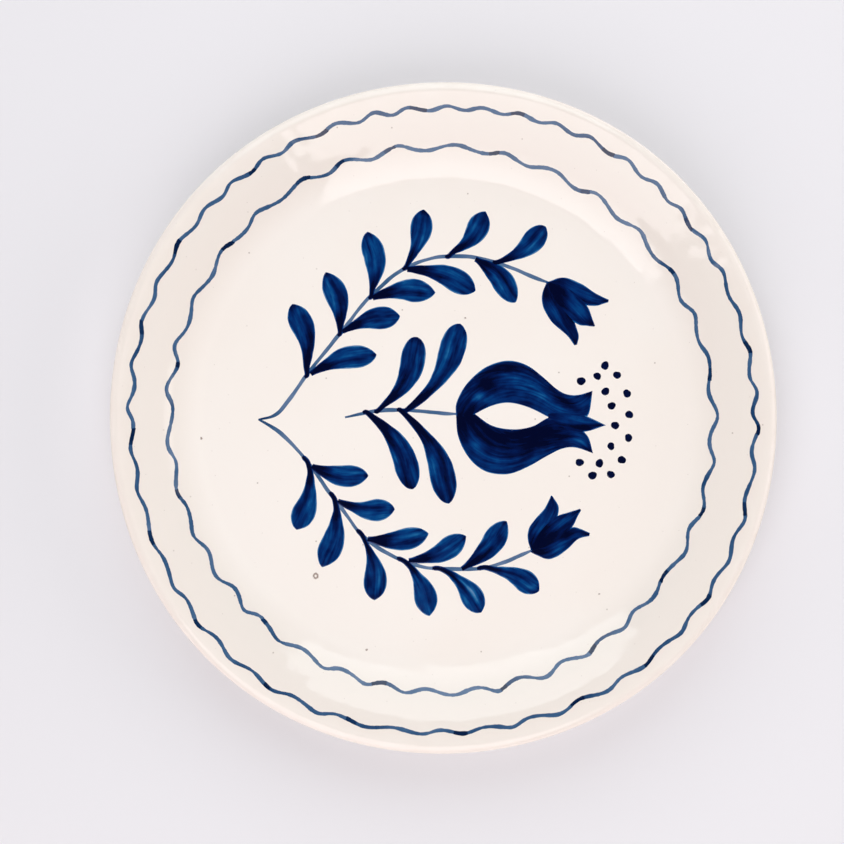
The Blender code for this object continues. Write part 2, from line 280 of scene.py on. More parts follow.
glaze = {
    "pale": (0.884, 0.822, 0.765),
    "warm": (0.877, 0.808, 0.747),
    "lip": (0.8, 0.71, 0.64),         # thinner over the lip, so the clay warms it
    "wall": (0.812, 0.744, 0.683),     # painted shade: a darker cream laid over the wall
    "wallShadeFrom": (96.0, 111.0),         # millimetres from the axis
    "wallShadeTo": (122.0, 131.0),
    "speck": (0.3, 0.22, 0.18),
    "pit": (0.2, 0.12, 0.09),
    # x, y, radius of each blemish and the width of its brown rim
    "pits": ((-50.6, -62.7, 0.85, 0.45), (-30.4, -92.0, 0.1, 0.45), (8.8, 39.6, 0.1, 0.35),
             (-96.0, -8.0, 0.1, 0.4), (62.0, -70.0, 0.1, 0.3)),
    "speckSpacing": (23.0, 11.0),
    "speckRadius": (0.34, 0.17),
    "speckStrength": (0.6, 0.4),
}


def creamColour(tree, place):
    # two creams in slow clouds, a painted shade that darkens the wall, grey-brown specks in two
    # sizes, and a few brown-rimmed pits
    clouds = between(tree, noise(tree, place, 0.018, 3), 0.35, 0.65)
    colour = mixed(tree, clouds, glaze["pale"], glaze["warm"])
    fromAxis = distanceFromAxis(tree, place)
    # painted shade: the glaze colour is darkened over the wall, easing in past the floor and out
    # again near the rim
    wallShade = maths(tree, "MULTIPLY", between(tree, fromAxis, *glaze["wallShadeFrom"]),
                    between(tree, fromAxis, *glaze["wallShadeTo"], 1.0, 0.3))
    colour = mixed(tree, wallShade, colour, glaze["wall"])
    for spacing, radius, strength in zip(glaze["speckSpacing"], glaze["speckRadius"],
                                         glaze["speckStrength"]):
        cells = addNode(tree, "TexVoronoi", {"Vector": place, "Scale": 1 / spacing},
                        voronoi_dimensions="2D")
        size = radius / spacing
        dot = between(tree, cells.outputs["Distance"], size * 0.5, size * 1.3, 1.0, 0.0)
        chosen = between(tree, cells.outputs["Color"], 0.45, 0.8, 0.0, strength)
        colour = mixed(tree, maths(tree, "MULTIPLY", dot, chosen), colour, glaze["speck"])
    flat = stretched(tree, place, (1, 1, 0))
    ragged = maths(tree, "MULTIPLY_ADD", noise(tree, place, 1.6, 3), 1.1, -0.55)
    for x, y, radius, width in glaze["pits"]:
        away = addNode(tree, "VectorMath", {0: flat, 1: (x, y, 0)},
                       operation="DISTANCE").outputs["Value"]
        fromRim = maths(tree, "ABSOLUTE", maths(tree, "SUBTRACT", away, radius))
        ragRim = maths(tree, "ADD", fromRim, ragged)
        mark = between(tree, ragRim, width * 0.3, width * 1.2, 0.8, 0.0)
        near = between(tree, away, radius + width * 1.5, radius + width * 2.5, 1.0, 0.0)
        colour = mixed(tree, maths(tree, "MULTIPLY", mark, near), colour, glaze["pit"])
    return colour


def makeGlaze():
    material, tree, shader = newMaterial("creamGlaze")
    place = inMillimetres(tree)
    colour = creamColour(tree, place)
    patches = between(tree, noise(tree, place, 0.1, 4), 0.2, 0.8, 0.35, 0.9)
    worn = maths(tree, "MULTIPLY", fieldOf(tree, "lip"), patches)
    colour = mixed(tree, worn, colour, glaze["lip"])
    tree.links.new(colour, shader.inputs["Base Color"])
    glazeSkin(tree, shader, place)
    return material


clay = {
    "colour": (0.52, 0.38, 0.28),
    "dark": (0.4, 0.27, 0.19),
    "grit": (0.16, 0.1, 0.07),
}


def makeClay():
    # buff stoneware, mottled and gritty
    material, tree, shader = newMaterial("bareClay")
    place = inMillimetres(tree)
    mottle = between(tree, noise(tree, place, 0.12, 5, 0.6), 0.3, 0.7)
    colour = mixed(tree, mottle, clay["colour"], clay["dark"])
    cells = addNode(tree, "TexVoronoi", {"Vector": place, "Scale": 0.6})
    grit = between(tree, cells.outputs["Distance"], 0.08, 0.16, 0.8, 0.0)
    colour = mixed(tree, grit, colour, clay["grit"])
    tree.links.new(colour, shader.inputs["Base Color"])
    grain = maths(tree, "MULTIPLY", noise(tree, place, 2.2, 6, 0.65), 0.1)
    rough = addNode(tree, "Bump", {"Height": grain, "Distance": mm, "Strength": 1.0})
    tree.links.new(rough.outputs["Normal"], shader.inputs["Normal"])
    tree.links.new(between(tree, mottle, 0, 1, 0.78, 0.92), shader.inputs["Roughness"])
    return material


# colour against the amount of cobalt: a full brush's pool, and a line's thinner wash
cobalt = {
    "pool": ((0, (0.1, 0.22, 0.4)), (0.18, (0.012, 0.12, 0.3)), (0.38, (0.002, 0.052, 0.2)),
             (0.58, (0.0012, 0.021, 0.12)), (0.78, (0.0008, 0.007, 0.058)),
             (1, (0.0005, 0.002, 0.02))),
    "wash": ((0, (0.24, 0.31, 0.43)), (0.25, (0.115, 0.18, 0.305)), (0.5, (0.042, 0.105, 0.215)),
             (0.75, (0.01, 0.042, 0.12)), (1, (0.002, 0.012, 0.05))),
    # ramp, streaks, hairs, blotches, how much paler the rim is, and its width in millimetres
    "petalCobalt": ("pool", 0.46, 0.12, 0.24, 0.55, 0.62),
    "dotCobalt": ("pool", 0.1, 0.05, 0.1, 0.1, 0.25),
    "lineCobalt": ("wash", 0.16, 0.12, 0.12, 0.1, 0.25),
}


def makeCobalt(name, stops, streaks, hairs, blotches, rimPale, rimWidth):
    # how much cobalt lies at a point: the brush's load there, plus long streaks, hairs and
    # blotches, less a paler rim; the ramp turns that into colour
    material, tree, shader = newMaterial(name)
    place = inMillimetres(tree)
    brush = addNode(tree, "UVMap", uv_map="brush").outputs["UV"]
    layers = (
        (noise(tree, stretched(tree, brush, (0.085, 0.55, 1)), 1.0, 2, 0.5), streaks),
        (noise(tree, stretched(tree, brush, (0.13, 1.7, 1), (7, 3, 0)), 1.0, 2, 0.5), hairs),
        (noise(tree, place, 0.2, 3), blotches),
    )
    amount = fieldOf(tree, "load")
    for layer, strength in layers:
        swing = maths(tree, "MULTIPLY", maths(tree, "SUBTRACT", layer, 0.5), strength * 2)
        amount = maths(tree, "ADD", amount, swing)
    ragged = maths(tree, "MULTIPLY", layers[1][0], rimWidth * 0.8)
    rough = maths(tree, "ADD", fieldOf(tree, "edge"), ragged)
    rim = between(tree, rough, rimWidth * 0.4, rimWidth * 1.6, rimPale, 0.0)
    amount = maths(tree, "SUBTRACT", amount, rim, clamp=True)
    tree.links.new(ramp(tree, amount, cobalt[stops]), shader.inputs["Base Color"])
    glazeSkin(tree, shader, place)
    return material


creamGlaze = makeGlaze()
bareClay = makeClay()
petalCobalt, dotCobalt, lineCobalt = (makeCobalt(name, *cobalt[name]) for name in
                                      ("petalCobalt", "dotCobalt", "lineCobalt"))
print("materials made")


# the dish: one section, turned round the axis

dish = {
    "lipRadius": 2.3,
    "rimWidth": 8.0,
    "rimSlope": 14.0,
    "shoulderRadius": 46.0,
    "wallSlope": 30.0,
    "floorThickness": 5.5,
    "rimThickness": 4.6,
    "clearance": 0.3,                  # between the frame's clay and its coats
    "coat": 0.8,                       # glaze surface above the clay
    "under": 0.06,                     # where a coat's inner side lies, above the clay
    "footWidth": 6.5,
    "turnSteps": 384,
    # out of round and warp: (count, size, lead), easing in from the foot to the rim
    "outOfRound": ((2, 0.5, -160), (4, 0.5, 170)),      # an oval, with four soft corners
    "warp": ((1, 0.1, 40), (2, 0.22, 75), (3, 0.12, -60)),
    "warpFrom": 80.0,
    "throwing": (0.03, 6.5),           # height and spacing of the rings on the wall
    "trimming": (0.05, 3.4),           # the same, under the rim
    "spiral": (0.07, 7.0),             # the same, inside the foot
    # beads where the glaze stops at the foot: distance from the clay, and rise
    "backBead": ((2.4, 1.6, 1.0, 0.55, 0.25, 0.1), (0.0, 0.06, 0.22, 0.5, 0.85, 1.25)),
    "wellBead": ((1.6, 1.0, 0.55, 0.25, 0.08), (0.06, 0.22, 0.5, 0.85, 1.2)),
    "backFrom": 17,                    # point of the lip where the back's glaze starts
}
glazeLow, glazeHigh = boxOf("face_glaze")
rimRadius = glazeHigh[0]
rimTop = glazeHigh[2]
floorClay = glazeLow[2] - dish["clearance"]
underside = floorClay - dish["floorThickness"]
footOuter = boxOf("foot_ring")[1, 0]
footInner = footOuter + dish["clearance"] - dish["footWidth"]


def circle(centre, radius, start, end, steps):
    # points and outward directions along an arc in the section plane
    a = np.radians(np.linspace(start, end, steps))
    way = np.column_stack([np.cos(a), np.sin(a)])
    return centre + radius * way, way


def dishSection():
    # the clay's face from the middle out to the rim, then the lip: points and directions
    lean = np.radians(dish["rimSlope"])
    lipCentre = np.array([rimRadius - dish["coat"] - dish["lipRadius"],
                          rimTop - dish["coat"] - dish["lipRadius"]])
    rimUp = np.array([-np.sin(lean), np.cos(lean)])
    rimAlong = np.array([np.cos(lean), np.sin(lean)])
    rimEnd = lipCentre + dish["lipRadius"] * rimUp
    rimStart = rimEnd - dish["rimWidth"] * rimAlong
    shoulder = circle(rimStart - dish["shoulderRadius"] * rimUp, dish["shoulderRadius"],
                      90 + dish["wallSlope"], 90 + dish["rimSlope"], 24)
    slope = np.radians(dish["wallSlope"])
    wallRadius = (shoulder[0][0, 1] - floorClay) / (1 - np.cos(slope))
    floorRadius = shoulder[0][0, 0] - wallRadius * np.sin(slope)
    wall, wallWay = circle(np.array([floorRadius, floorClay + wallRadius]), wallRadius,
                           -90, -90 + dish["wallSlope"], 32)
    radii = np.concatenate([np.linspace(0, floorRadius - 6, 30),
                            np.linspace(floorRadius - 5, floorRadius, 6)[:-1]])
    floor = np.column_stack([radii, np.full(len(radii), floorClay)])
    rim = rimStart + np.linspace(0, 1, 7)[1:-1, None] * (rimEnd - rimStart)
    points = np.vstack([floor, wall, shoulder[0][1:], rim])
    ways = np.vstack([np.tile([0.0, 1.0], (len(floor), 1)), -wallWay, shoulder[1][1:],
                      np.tile(rimUp, (len(rim), 1))])
    lip = circle(lipCentre, dish["lipRadius"], 90 + dish["rimSlope"], dish["rimSlope"] - 90, 25)
    return points, ways, lip[0], lip[1]


def backSection(points, ways):
    # the clay's underside: the face let down by a thickness that grows from rim to floor
    travelled = lengthAlong(points)
    share = eased(0.45, 1.0, travelled / travelled[-1])
    thick = dish["floorThickness"] + (dish["rimThickness"] - dish["floorThickness"]) * share
    return (points - ways * thick[:, None])[::-1], -ways[::-1]


facePoints, faceWays, lipPoints, lipWays = dishSection()
backPoints, backWays = backSection(facePoints, faceWays)
glazedFace = facePoints + faceWays * dish["coat"]


def shaped(radius, height, turn):
    # a point of the true round dish, moved out by the out-of-round and up by the warp
    share = eased(dish["warpFrom"], rimRadius, radius)
    radius = radius + share * harmonics(turn, dish["outOfRound"])
    height = height + share * harmonics(turn, dish["warp"])
    return np.stack([radius * np.cos(turn), radius * np.sin(turn), height], -1)


def throwing(radius, height, turn):
    # faint rings left by the potter's fingers up the wall
    rise, spacing = dish["throwing"]
    rings = np.sin(2 * np.pi * radius / spacing + 0.6 * np.sin(turn))
    return rise * rings * eased(60, 105, radius) * (1 - eased(116, 124, radius))


def laid(plan, lift):
    # a point of the plan let down on the glazed face, and raised off it by the lift
    radius = np.hypot(plan[..., 0], plan[..., 1])
    turn = np.arctan2(plan[..., 1], plan[..., 0])
    share = eased(dish["warpFrom"], rimRadius, radius)
    trueRadius = radius - share * harmonics(turn, dish["outOfRound"])
    height = np.interp(trueRadius, glazedFace[:, 0], glazedFace[:, 1])
    return shaped(trueRadius, height + lift + throwing(trueRadius, height, turn), turn)


def turnedShell(profile, fields, wobble=None):
    # a section of (radius, height) turned once round the axis; a section that starts and
    # ends on the axis gets a pole there, and any other closes on itself
    steps = dish["turnSteps"]
    turn = np.linspace(0, 2 * np.pi, steps, endpoint=False)
    onAxis = profile[0, 0] < 1e-6
    body = profile[1:-1] if onAxis else profile
    radius, height = np.broadcast_to(body[:, :1], (len(body), steps)), body[:, 1:]
    height = height + (wobble(radius, height, turn) if wobble else 0 * radius)
    points = shaped(radius, height, turn[None, :] + 0 * radius).reshape(-1, 3)
    rows = {f: np.repeat(v[1:-1] if onAxis else v, steps) for f, v in fields.items()}
    faces = [gridFaces(len(body), steps, closeRows=not onAxis)]
    if onAxis:
        count = len(points)
        poles = [(0, 0, profile[0, 1]), (0, 0, profile[-1, 1])]
        points = np.vstack([points, poles])
        faces += [fan(count, 0, steps, False), fan(count + 1, count - steps, steps, True)]
        rows = {f: np.append(v, (fields[f][0], fields[f][-1])) for f, v in rows.items()}
    return points, faces, rows


def section(*parts):
    # joins (points, directions, height off the clay) into one line
    return np.vstack([p + w * np.reshape(h, (-1, 1)) for p, w, h in parts])


def buildDish():
    body = section((facePoints, faceWays, 0), (lipPoints, lipWays, 0), (backPoints, backWays, 0))
    makePiece("clayBody", [turnedShell(body, {})], bareClay, "clay_body")

    # The face's glaze goes over the lip and thins out under it
    coat, under = dish["coat"], dish["under"]
    lipShare = np.linspace(0, 1, len(lipPoints))
    thin = coat - (coat - 0.2) * eased(0.86, 1.0, lipShare)
    outer = section((facePoints, faceWays, coat), (lipPoints, lipWays, thin))
    inner = section((facePoints, faceWays, under), (lipPoints, lipWays, under))[::-1]
    crest = bump(lipShare, 0.42, 0.3)
    near = 0.45 * eased(len(facePoints) - 7, len(facePoints) - 1, np.arange(len(facePoints)))
    lip = np.concatenate([near, np.maximum(crest, near[-1] * (lipShare < 0.4)),
                          np.zeros(len(inner))])

    profile = np.vstack([outer, inner])
    makePiece("faceGlaze", [turnedShell(profile, {"lip": lip}, throwing)], creamGlaze,
              "face_glaze", ["lip"])

    # The back's glaze starts under the lip and ends in a bead against the foot
    backLip, backLipWays = lipPoints[dish["backFrom"]:], lipWays[dish["backFrom"]:]
    grow = 0.2 + (coat - 0.2) * eased(0, 5, np.arange(len(backLip)))
    keep = backPoints[:, 0] > footOuter + 3.0
    away, rise = np.array(dish["backBead"])
    bead = np.column_stack([footOuter + away, underside - coat - rise])
    outer = np.vstack([section((backLip, backLipWays, grow),
                               (backPoints[keep], backWays[keep], coat)), bead])
    back = [[footOuter - 0.3, underside - coat - 0.9], [footOuter - 0.3, underside - under]]
    inner = section((backLip, backLipWays, under), (backPoints[keep], backWays[keep], under))[::-1]
    ring = np.vstack([outer, back, inner])

    def trimming(radius, height, turn):
        # rings left by the trimming tool, under the rim and wall
        deep, spacing = dish["trimming"]
        return deep * np.sin(2 * np.pi * radius / spacing) * eased(88, 95, radius)

    makePiece("backGlaze", [turnedShell(ring, {"lip": np.zeros(len(ring))}, trimming)],
              creamGlaze, "back_glaze", ["lip"])

    # The glaze inside the foot is a low disc with a spiral and a bead at its edge
    away, rise = np.array(dish["wellBead"])
    radii = np.concatenate([np.linspace(0, footInner - 2.2, 40), footInner - away])
    low = np.column_stack([radii, underside - coat - np.append(np.zeros(40), rise)])
    top = [[footInner + 0.3, underside - coat - 0.9], [footInner + 0.3, underside - under],
           [0, underside - under]]

    def spiral(radius, height, turn):
        # one groove winding out from the middle
        deep, spacing = dish["spiral"]
        wave = np.cos(2 * np.pi * radius / spacing - turn)
        fade = (1 - eased(68, 75, radius)) * eased(0, 4, radius)
        return deep * wave * (height < underside - 0.5) * fade

    disc = np.vstack([low, top])
    makePiece("wellGlaze", [turnedShell(disc, {"lip": np.zeros(len(disc))}, spiral)],
              creamGlaze, "foot_well_glaze", ["lip"])


foot = {"taper": 0.8, "edge": 1.1, "groove": 0.04, "grooveSpacing": 0.9}


def buildFoot():
    # a tapering ring of bare clay with rounded lower edges and fine grooves round its sides
    top, edge, taper = underside - 0.02, foot["edge"], foot["taper"]
    outer, inner = footOuter, footInner
    heights = np.linspace(top, edge, 30)
    fall = (top - heights) / (top - edge)
    groove = foot["groove"] * np.sin(2 * np.pi * heights / foot["grooveSpacing"])
    outside = np.column_stack([outer - taper * fall + groove, heights])
    inside = np.column_stack([inner + taper * fall + groove, heights])[::-1]
    outCorner = circle(np.array([outer - taper - edge, edge]), edge, 0, -90, 9)[0][1:]
    inCorner = circle(np.array([inner + taper + edge, edge]), edge, -90, -180, 9)[0][:-1]
    profile = np.vstack([outside, outCorner, inCorner, inside])
    makePiece("footRing", [turnedShell(profile, {})], bareClay, "foot_ring")


buildDish()
buildFoot()
print("dish turned")


# brush strokes

def strip(left, right, lift, load, across=17, rest=0.0, seed=0, covered=0.0):
    # a stroke between two edge lines: plan = left to right in equal shares, height =
    # lift * (1 - v^4) where v runs -1 to 1 across, over a flat bottom sunk into the glaze;
    # covered is the share of its length that starts over other paint and has no pale rim
    v = np.linspace(-1, 1, across)
    middle, width = (left + right) / 2, np.linalg.norm(right - left, axis=1)
    # a point never narrows to nothing, so the mesh stays closed there
    wide = np.flatnonzero(width > strokePoint)
    nearest = wide[np.abs(np.arange(len(width))[:, None] - wide).argmin(1)]
    side = (right - left)[nearest] / width[nearest, None]
    half = np.maximum(width, strokePoint) / 2
    left, right = middle - side * half[:, None], middle + side * half[:, None]
    along = lengthAlong(middle)
    share = ((1 + v) / 2)[None, :, None]
    plan = left[:, None] * (1 - share) + right[:, None] * share
    dome = rest + lift * (1 - v ** 4)[None, :] * np.minimum(1, half / 1.2)[:, None]
    upper = laid(plan, dome)
    lower = laid(plan, np.full(dome.shape, -0.03))[:, -2:0:-1]
    rows, columns = len(left), 2 * across - 2
    points = np.concatenate([upper, lower], axis=1).reshape(-1, 3)
    chance = np.random.default_rng(seed)
    move = chance.uniform(-200, 200, 2)
    t = along / along[-1]
    inside = 3.0 * (1 - eased(covered, covered + 0.15, t)) if covered else 0 * t
    fields = {
        "edge": half[:, None] * (1 - np.abs(v)) + inside[:, None],
        "load": load(t[:, None], v[None, :]) + 0 * dome,
        "u": along[:, None] + move[0] + 0 * dome,
        "w": half[:, None] * v + move[1],
    }
    fields = {f: np.concatenate([g, g[:, -2:0:-1]], axis=1).ravel() for f, g in fields.items()}
    fields["brush"] = np.column_stack([fields.pop("u"), fields.pop("w")])
    ends = [np.arange(columns)[None, :], (rows - 1) * columns + np.arange(columns)[None, ::-1]]
    return points, [gridFaces(rows, columns), *ends], fields


strokeFields = ("brush", "edge", "load")
strokePoint = 0.12                     # the finest point a brush leaves


def along(path, half):
    # the two edges of a stroke of that half width along a path
    side = leftOf(path) * np.reshape(half, (-1, 1))
    return path + side, path - side


stem = {
    "width": 1.5, "tipWidth": 0.9, "lift": 0.02, "load": 0.38,
    "upper": ((-73.4, -0.6), (-64.8, 2.6), (-54.3, 16.9), (-41.4, 33.1), (-29.4, 47.5),
              (-15.5, 59.4), (1.9, 64.2), (20.9, 61.8), (41.5, 53.7)),
    "lower": ((-73.4, -0.6), (-64.6, -6.0), (-53.3, -18.2), (-42.8, -32.6), (-31.3, -47.4),
              (-15.1, -57.0), (-0.6, -59.9), (17.1, -59.3), (35.2, -52.7)),
    "centre": ((-39.0, 0.4), (-29.4, 2.4), (-17.1, 3.1), (5.1, 1.5)),
}
stemPaths = {
    "upper_spray": curveThrough(stem["upper"], 220),
    "lower_spray": curveThrough(stem["lower"], 220),
    "centre_sprig": curveThrough(stem["centre"], 80),
}


def camel(node):
    first, *rest = node.split("_")
    return first + "".join(word.capitalize() for word in rest)


def buildStems():
    for seed, (spray, path) in enumerate(stemPaths.items()):
        travelled = lengthAlong(path)
        total = travelled[-1]
        ends = eased(0, 9, travelled) * eased(0, 5, total - travelled)
        half = (stem["tipWidth"] + (stem["width"] - stem["tipWidth"]) * ends) / 2
        half = half * (1 + 0.16 * wander(40 + seed, travelled, 31.0))
        path = path + leftOf(path) * (0.22 * wander(50 + seed, travelled, 44.0))[:, None]
        left, right = along(path, half)

        def load(t, v, seed=seed, total=total):
            # thin wash, slowly uneven, darker where the brush first touched and at its edges
            wet = 0.3 * bump(t * total, 0, 7) + 0.12 * wander(60 + seed, t[:, 0] * total,
                                                              38.0)[:, None]
            return stem["load"] + wet + 0.05 * v ** 2

        shell = strip(left, right, stem["lift"], load, across=7, seed=seed)
        makePiece(camel(spray) + "Stem", [shell], lineCobalt, spray + "_stem",
                  strokeFields)


leaf = {
    "spread": 1.17,                    # how far the wet brush opens past the frame's leaf
    "rootWidth": 2.3,
    "neckWidth": 3.6,
    "belly": 0.66,
    "tipBluntness": 0.78,
    "rootOverlap": (0.8, 1.9),         # over the stem: outer leaves, inner leaves
    # an outer leaf's stroke starts on the stem, this far before the leaf turns away
    "tail": {"upper_spray": 3.0, "lower_spray": 6.4, "centre_sprig": 2.8},
    "tailWidth": 2.0,
    "darker": 0.0,
    # the sprig's leaves are slimmer, fuller towards the tip, blunter and darker
    "sprig": {"spread": 1.07, "belly": 0.73, "tipBluntness": 0.6, "darker": 0.08},
    "lift": 0.03,
}


def leafPlace(node, path):
    # root, tip, width and bow of a frame leaf: its farthest two points, the root being the
    # one by the stem, and what lies to each side of the line between them at its belly
    points = nodePlan(node)
    gaps = np.linalg.norm(points[:, None] - points[None], axis=-1)
    ends = points[list(np.unravel_index(gaps.argmax(), gaps.shape))]
    toStem = np.linalg.norm(ends[:, None] - path[None], axis=-1).min(1)
    root, tip = ends[np.argsort(toStem)]
    root = points[np.linalg.norm(points - root, axis=1) < 1.4].mean(0)
    length = np.linalg.norm(tip - root)
    way = (tip - root) / length
    side = np.array([-way[1], way[0]])
    s, w = (points - root) @ way / length, (points - root) @ side
    belly = w[np.abs(s - 0.62) < 0.16]
    return root, tip, belly.max() - belly.min(), (belly.max() + belly.min()) / 2 / 0.92


def nodePlan(node):
    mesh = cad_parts[node].data
    points = np.empty(len(mesh.vertices) * 3, np.float32)
    mesh.vertices.foreach_get("co", points)
    return np.unique(np.round(points.reshape(-1, 3)[:, :2] / mm, 3), axis=0)


def tailOn(path, root, reach):
    # two points of the stem before the leaf's root: a whole reach back, and half of it
    travelled = lengthAlong(path)
    node = travelled[np.linalg.norm(path - root, axis=1).argmin()]
    return [[np.interp(node - back, travelled, path[:, i]) for i in (0, 1)]
            for back in (reach, reach / 2)]


def leafEdges(facts, root, tip, width, bow, overlap, seed, tail=()):
    # half width = soft maximum of a neck that fades out and a belly t^a (1 - t)^b;
    # the middle bows as a sine, and the tip swings a little the other way;
    # a tail is led in from the stem, no wider than the stem needs
    chance = np.random.default_rng(seed)
    way = (tip - root) / np.linalg.norm(tip - root)
    root = root - way * overlap
    length = np.linalg.norm(tip - root)
    side = np.array([-way[1], way[0]])
    t = (1 - np.cos(np.pi * np.linspace(0, 1, 64))) / 2
    belly = facts["belly"] + chance.uniform(-0.04, 0.05)
    blunt = facts["tipBluntness"] + chance.uniform(-0.08, 0.1)
    rise = blunt * belly / (1 - belly)
    swell = t ** rise * (1 - t) ** blunt / (belly ** rise * (1 - belly) ** blunt)
    neck = leaf["rootWidth"] + (leaf["neckWidth"] - leaf["rootWidth"]) * eased(0, 0.22, t)
    neck = neck / 2 * chance.uniform(0.85, 1.1) * (1 - eased(0.35, 0.75, t))
    half = ((width / 2 * swell) ** 3 + neck ** 3) ** (1 / 3)
    half = half * (1 + 0.03 * wander(seed + 7, t * length, 19.0))
    skew = chance.uniform(0.1, 0.26) * width * -np.sign(bow)
    middle = bow * np.sin(np.pi * t ** 0.9) + skew * eased(0.45, 1.0, t)
    path = root + way * (t * length)[:, None] + side * middle[:, None]
    if len(tail):
        reached, bladeHalf = lengthAlong(path), half
        path = curveThrough([*tail, *path[[10, 20, 28, 36, 44, 52, 58, 63]]], 110)
        travelled = lengthAlong(path)
        lead = travelled[-1] - reached[-1]
        slim = leaf["tailWidth"] / 2 * (0.7 + 0.3 * eased(0, 1.2, travelled))
        full = np.interp(travelled - lead, reached, bladeHalf)
        half = slim + (full - slim) * eased(lead * 0.3, lead + 1.2, travelled)
    return along(path, half)


def leafLoad(seed, darker):
    # cobalt pools at the root, runs up one side in a dark streak, thins on the other, and
    # often leaves a dark spot where the brush lifted off
    chance = np.random.default_rng(seed + 500)
    darkSide = chance.uniform(0.1, 0.45) * chance.choice([-1, 1])
    darkness, width = chance.uniform(0.14, 0.3), chance.uniform(0.24, 0.42)
    paleSide, paleness = -darkSide + chance.uniform(-0.2, 0.2), chance.uniform(0.1, 0.26)
    spot = chance.uniform(0, 0.42)
    base = chance.uniform(0.55, 0.68) + darker

    def load(t, v):
        root = 0.44 * (1 - eased(0.14, 0.46, t))
        dark = darkness * bump(v, darkSide * (1 - 0.5 * t), width) * (1 - eased(0.75, 0.95, t))
        pale = paleness * bump(v, paleSide, 0.2) * eased(0.3, 0.5, t) * (1 - eased(0.8, 0.95, t))
        thinner = 0.1 * bump(t, 0.68, 0.2)
        return base + root + dark - pale - thinner + spot * eased(0.88, 1.0, t)

    return load


def buildLeaves():
    sprays = {"upper_spray": (11, 6), "lower_spray": (11, 6), "centre_sprig": (4, 4)}
    for s, (spray, (count, outerCount)) in enumerate(sprays.items()):
        facts = {**leaf, **leaf["sprig"]} if spray == "centre_sprig" else leaf
        for number in range(1, count + 1):
            node = f"{spray}_leaf_{number:02d}"
            seed = 100 * (s + 1) + number
            root, tip, width, bow = leafPlace(node, stemPaths[spray])
            tailed = number <= outerCount
            overlap = leaf["rootOverlap"][0 if tailed else 1]
            tail = tailOn(stemPaths[spray], root, leaf["tail"][spray]) if tailed else ()
            left, right = leafEdges(facts, root, tip, width * facts["spread"], bow, overlap,
                                    seed, tail)
            shell = strip(left, right, leaf["lift"], leafLoad(seed, facts["darker"]), rest=0.01,
                          seed=seed)
            makePiece(camel(node), [shell], petalCobalt, node, strokeFields)


buildStems()
buildLeaves()
print("stems and leaves painted")


# flowers

touchStrength = 1.3


def touched(base, touches):
    # the load over a petal: a base, plus soft touches of (place along, place across,
    # reach along, reach across, how much darker)
    def load(t, v):
        amount = base + 0 * (t + v)
        for alongIt, acrossIt, reach, width, darker in touches:
            spot = bump(t, alongIt, reach) * bump(v, acrossIt, width)
            amount = amount + touchStrength * darker * spot
        return amount
    return load


tulip = {
    "length": 25.4,
    "lift": 0.03,
    "steps": 56,
    # each petal: its left edge, its right edge, from the base; drawn pointing along x
    "upper_tulip": (
        (((-0.5, 0.0), (3.2, 5.8), (9.9, 8.7), (16.6, 9.9), (22.3, 11.6)),
         ((-0.5, 0.0), (6.0, 0.4), (12.5, 1.2), (17.4, 3.9), (20.8, 6.7), (22.9, 10.7))),
        (((-0.5, 0.0), (6.0, -0.4), (12.5, -1.0), (19.8, -4.9), (23.4, -7.0), (25.3, -10.0)),
         ((-0.5, 0.0), (1.6, -5.1), (5.3, -8.4), (12.1, -10.3), (19.8, -10.1), (24.7, -11.0))),
        (((0.0, 0.0), (5.0, 3.4), (11.5, 4.6), (18.0, 3.9), (22.3, 1.95), (25.4, 0.3)),
         ((0.0, 0.0), (5.0, -3.2), (11.5, -4.6), (19.7, -4.0), (23.0, -1.8), (25.3, -0.3))),
    ),
    "lower_tulip": (
        (((-0.5, 0.0), (1.9, 4.6), (4.7, 7.4), (9.2, 8.8), (15.0, 9.7), (19.8, 11.9)),
         ((-0.5, 0.0), (6.0, 0.4), (12.5, 1.2), (16.8, 3.85), (19.4, 6.6), (20.4, 11.3))),
        (((-0.5, 0.0), (6.0, -0.4), (12.5, -1.0), (18.2, -3.2), (20.3, -5.6), (22.0, -9.4)),
         ((-0.5, 0.0), (1.9, -5.9), (6.0, -8.2), (11.8, -8.6), (17.1, -8.3), (21.4, -10.2))),
        (((0.0, 0.0), (5.0, 3.0), (11.0, 4.4), (16.8, 3.9), (19.9, 2.7), (25.4, 0.5)),
         ((0.0, 0.0), (5.0, -2.8), (11.0, -3.8), (18.2, -3.2), (22.6, -1.3), (25.3, -0.3))),
    ),
    "touches": (
        ((0.05, 0.0, 0.26, 2.0, 0.24), (0.62, 0.6, 0.2, 0.4, 0.16),
         (0.45, -0.1, 0.2, 0.4, -0.18), (0.98, 0.0, 0.1, 1.0, 0.22)),
        ((0.05, 0.0, 0.26, 2.0, 0.24), (0.6, -0.5, 0.22, 0.4, 0.18),
         (0.4, 0.45, 0.18, 0.4, -0.18), (0.98, 0.0, 0.1, 1.0, 0.22)),
        ((0.1, 0.0, 0.26, 2.0, 0.26), (0.38, 0.5, 0.2, 0.5, 0.16), (0.66, -0.2, 0.16, 0.4, -0.2),
         (0.97, 0.0, 0.1, 1.0, 0.2)),
    ),
    "base": 0.72,
}


